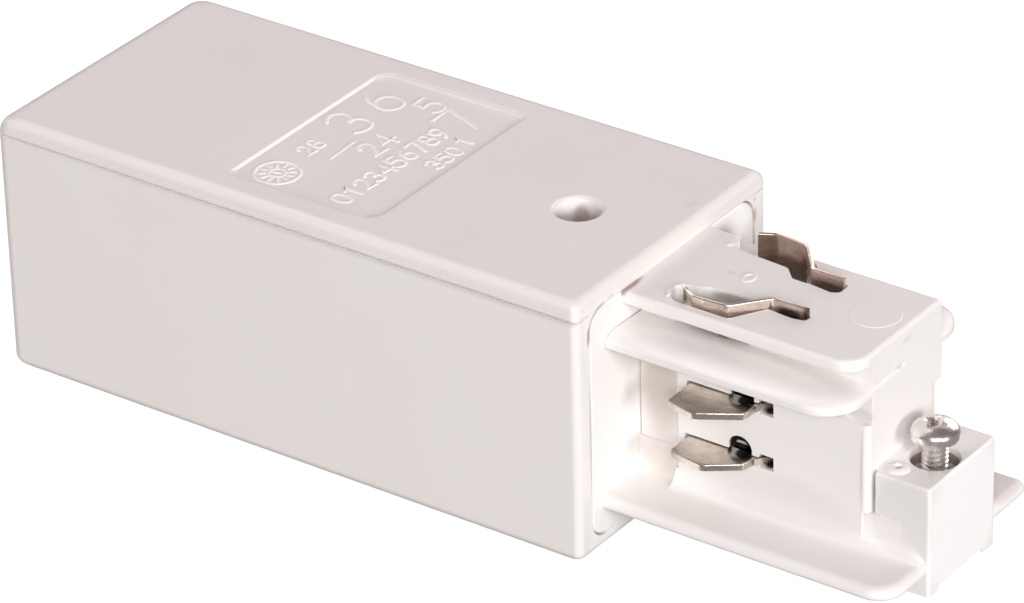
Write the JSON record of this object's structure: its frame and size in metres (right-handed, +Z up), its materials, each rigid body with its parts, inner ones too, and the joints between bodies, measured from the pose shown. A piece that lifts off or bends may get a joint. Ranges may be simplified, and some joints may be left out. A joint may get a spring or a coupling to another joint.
{
  "type": "track end feed",
  "caption": "Feed box for the end of a three-circuit lighting track, with a screwed lid and a keyed plug with sprung contacts and a clamp screw.",
  "frame": {"origin": "on the floor under the middle of the object's length and width", "axes": "+X from the cable entry towards the plug, +Z up from the flat underside of the box"},
  "size_m": [0.1144, 0.036, 0.0318],
  "materials": {
    "housing": "satin white moulded plastic",
    "plug_plastic": "satin white moulded plastic",
    "grommet": "matt light grey rubber",
    "plated_steel": "nickel-plated",
    "contact_metal": "nickel-plated spring copper alloy",
    "strip_copper": "bare rolled copper",
    "terminal_brass": "machined brass"
  },
  "bodies": {
    "feed": {"base_housing": "housing", "lid": "housing", "lid_screw": "plated_steel", "entry_grommet": "grommet", "cable_clamp_bar": "housing", "cable_clamp_screws": "plated_steel", "terminal_block": "housing", "terminal_l1": "terminal_brass", "terminal_l2": "terminal_brass", "terminal_l3": "terminal_brass", "terminal_n": "terminal_brass", "terminal_pe": "terminal_brass", "terminal_screws": "plated_steel", "plug_base": "plug_plastic", "plug_core": "plug_plastic", "strip_l1": "strip_copper", "strip_l2": "strip_copper", "strip_l3": "strip_copper", "strip_n": "strip_copper", "earth_strip": "strip_copper", "clamp_nut": "plated_steel"},
    "contact_l1_body": {"contact_l1": "contact_metal"},
    "contact_l2_body": {"contact_l2": "contact_metal"},
    "contact_l3_body": {"contact_l3": "contact_metal"},
    "contact_n_body": {"contact_n": "contact_metal"},
    "earth_contact_near_body": {"earth_contact_near": "contact_metal"},
    "earth_contact_far_body": {"earth_contact_far": "contact_metal"},
    "clamp_screw_body": {"clamp_screw": "plated_steel"},
    "clamp_foot_body": {"clamp_foot": "plug_plastic"}
  },
  "joints": [
    {"name": "contact_l1_spring", "type": "hinge", "parent": "feed", "child": "contact_l1_body", "pos_m": [0.0372, -0.00415, 0], "axis": [0, 0, -1], "range_deg": [0, 6], "stiffness_Nm_per_rad": 0.3},
    {"name": "contact_l2_spring", "type": "hinge", "parent": "feed", "child": "contact_l2_body", "pos_m": [0.0372, -0.00415, 0], "axis": [0, 0, -1], "range_deg": [0, 6], "stiffness_Nm_per_rad": 0.3},
    {"name": "contact_l3_spring", "type": "hinge", "parent": "feed", "child": "contact_l3_body", "pos_m": [0.0372, 0.00415, 0], "axis": [0, 0, 1], "range_deg": [0, 6], "stiffness_Nm_per_rad": 0.3},
    {"name": "contact_n_spring", "type": "hinge", "parent": "feed", "child": "contact_n_body", "pos_m": [0.0372, 0.00415, 0], "axis": [0, 0, 1], "range_deg": [0, 6], "stiffness_Nm_per_rad": 0.3},
    {"name": "earth_near_spring", "type": "hinge", "parent": "feed", "child": "earth_contact_near_body", "pos_m": [0.0391, -0.00373, 0], "axis": [0, 0, -1], "range_deg": [0, 5], "stiffness_Nm_per_rad": 0.3},
    {"name": "earth_far_spring", "type": "hinge", "parent": "feed", "child": "earth_contact_far_body", "pos_m": [0.0391, 0.00373, 0], "axis": [0, 0, 1], "range_deg": [0, 5], "stiffness_Nm_per_rad": 0.3},
    {"name": "foot_travel", "type": "slide", "parent": "feed", "child": "clamp_foot_body", "axis": [0, 0, -1], "range_m": [0, 0.002]},
    {"name": "screw_turn", "type": "hinge", "parent": "clamp_foot_body", "child": "clamp_screw_body", "pos_m": [0.054, -0.0003, 0.0145], "axis": [0, 0, -1], "range_deg": [0, 1445]}
  ],
  "couplings": [
    {"joint": "screw_turn", "follows": "foot_travel", "rad_per_m": 12566}
  ]
}
